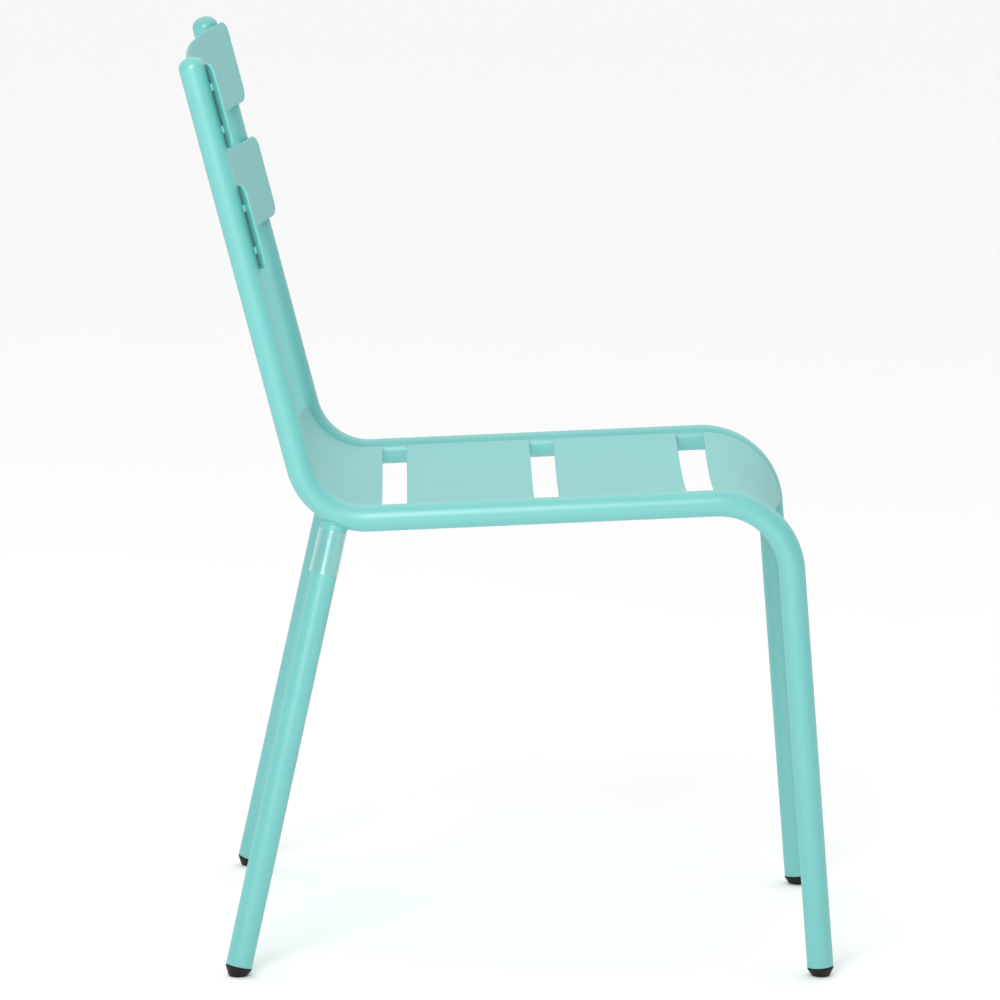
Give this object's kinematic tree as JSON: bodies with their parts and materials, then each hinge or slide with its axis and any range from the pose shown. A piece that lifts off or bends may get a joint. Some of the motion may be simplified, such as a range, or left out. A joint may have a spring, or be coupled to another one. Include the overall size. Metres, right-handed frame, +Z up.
{
  "type": "stacking chair",
  "caption": "Armless stacking chair of bent round tube, with curved sheet slats for back and seat and splayed rear legs.",
  "frame": {"origin": "on the floor, midway between the sides and midway between the front and the back of the chair's outline", "axes": "+Z up, -Y the way the chair faces, +X the sitter's left"},
  "size_m": [0.5142, 0.6337, 0.8645],
  "materials": {
    "mint_powder_coat": "satin powder coat, pale mint green",
    "black_plastic": "moulded black plastic, satin",
    "clear_plastic": "clear flexible plastic, glossy"
  },
  "bodies": {
    "root": {"back_slat_lower": "mint_powder_coat", "back_slat_upper": "mint_powder_coat", "front_glide_left": "black_plastic", "front_glide_right": "black_plastic", "rear_glide_left": "black_plastic", "rear_glide_right": "black_plastic", "rear_leg_left": "mint_powder_coat", "rear_leg_right": "mint_powder_coat", "rear_leg_weld_left": "mint_powder_coat", "rear_leg_weld_right": "mint_powder_coat", "seat_slat_front": "mint_powder_coat", "seat_slat_mid_front": "mint_powder_coat", "seat_slat_mid_rear": "mint_powder_coat", "seat_slat_rear": "mint_powder_coat", "side_tube_left": "mint_powder_coat", "side_tube_right": "mint_powder_coat", "stacking_sleeve_left": "clear_plastic", "stacking_sleeve_right": "clear_plastic", "upright_cap_left": "mint_powder_coat", "upright_cap_right": "mint_powder_coat", "weld_back_lower_left_a": "mint_powder_coat", "weld_back_lower_left_b": "mint_powder_coat", "weld_back_lower_right_a": "mint_powder_coat", "weld_back_lower_right_b": "mint_powder_coat", "weld_back_upper_left_a": "mint_powder_coat", "weld_back_upper_left_b": "mint_powder_coat", "weld_back_upper_right_a": "mint_powder_coat", "weld_back_upper_right_b": "mint_powder_coat", "weld_seat_front_left_a": "mint_powder_coat", "weld_seat_front_left_b": "mint_powder_coat", "weld_seat_front_right_a": "mint_powder_coat", "weld_seat_front_right_b": "mint_powder_coat", "weld_seat_mid_front_left_a": "mint_powder_coat", "weld_seat_mid_front_left_b": "mint_powder_coat", "weld_seat_mid_front_right_a": "mint_powder_coat", "weld_seat_mid_front_right_b": "mint_powder_coat", "weld_seat_mid_rear_left_a": "mint_powder_coat", "weld_seat_mid_rear_left_b": "mint_powder_coat", "weld_seat_mid_rear_right_a": "mint_powder_coat", "weld_seat_mid_rear_right_b": "mint_powder_coat", "weld_seat_rear_left_a": "mint_powder_coat", "weld_seat_rear_left_b": "mint_powder_coat", "weld_seat_rear_right_a": "mint_powder_coat", "weld_seat_rear_right_b": "mint_powder_coat"}
  },
  "joints": []
}
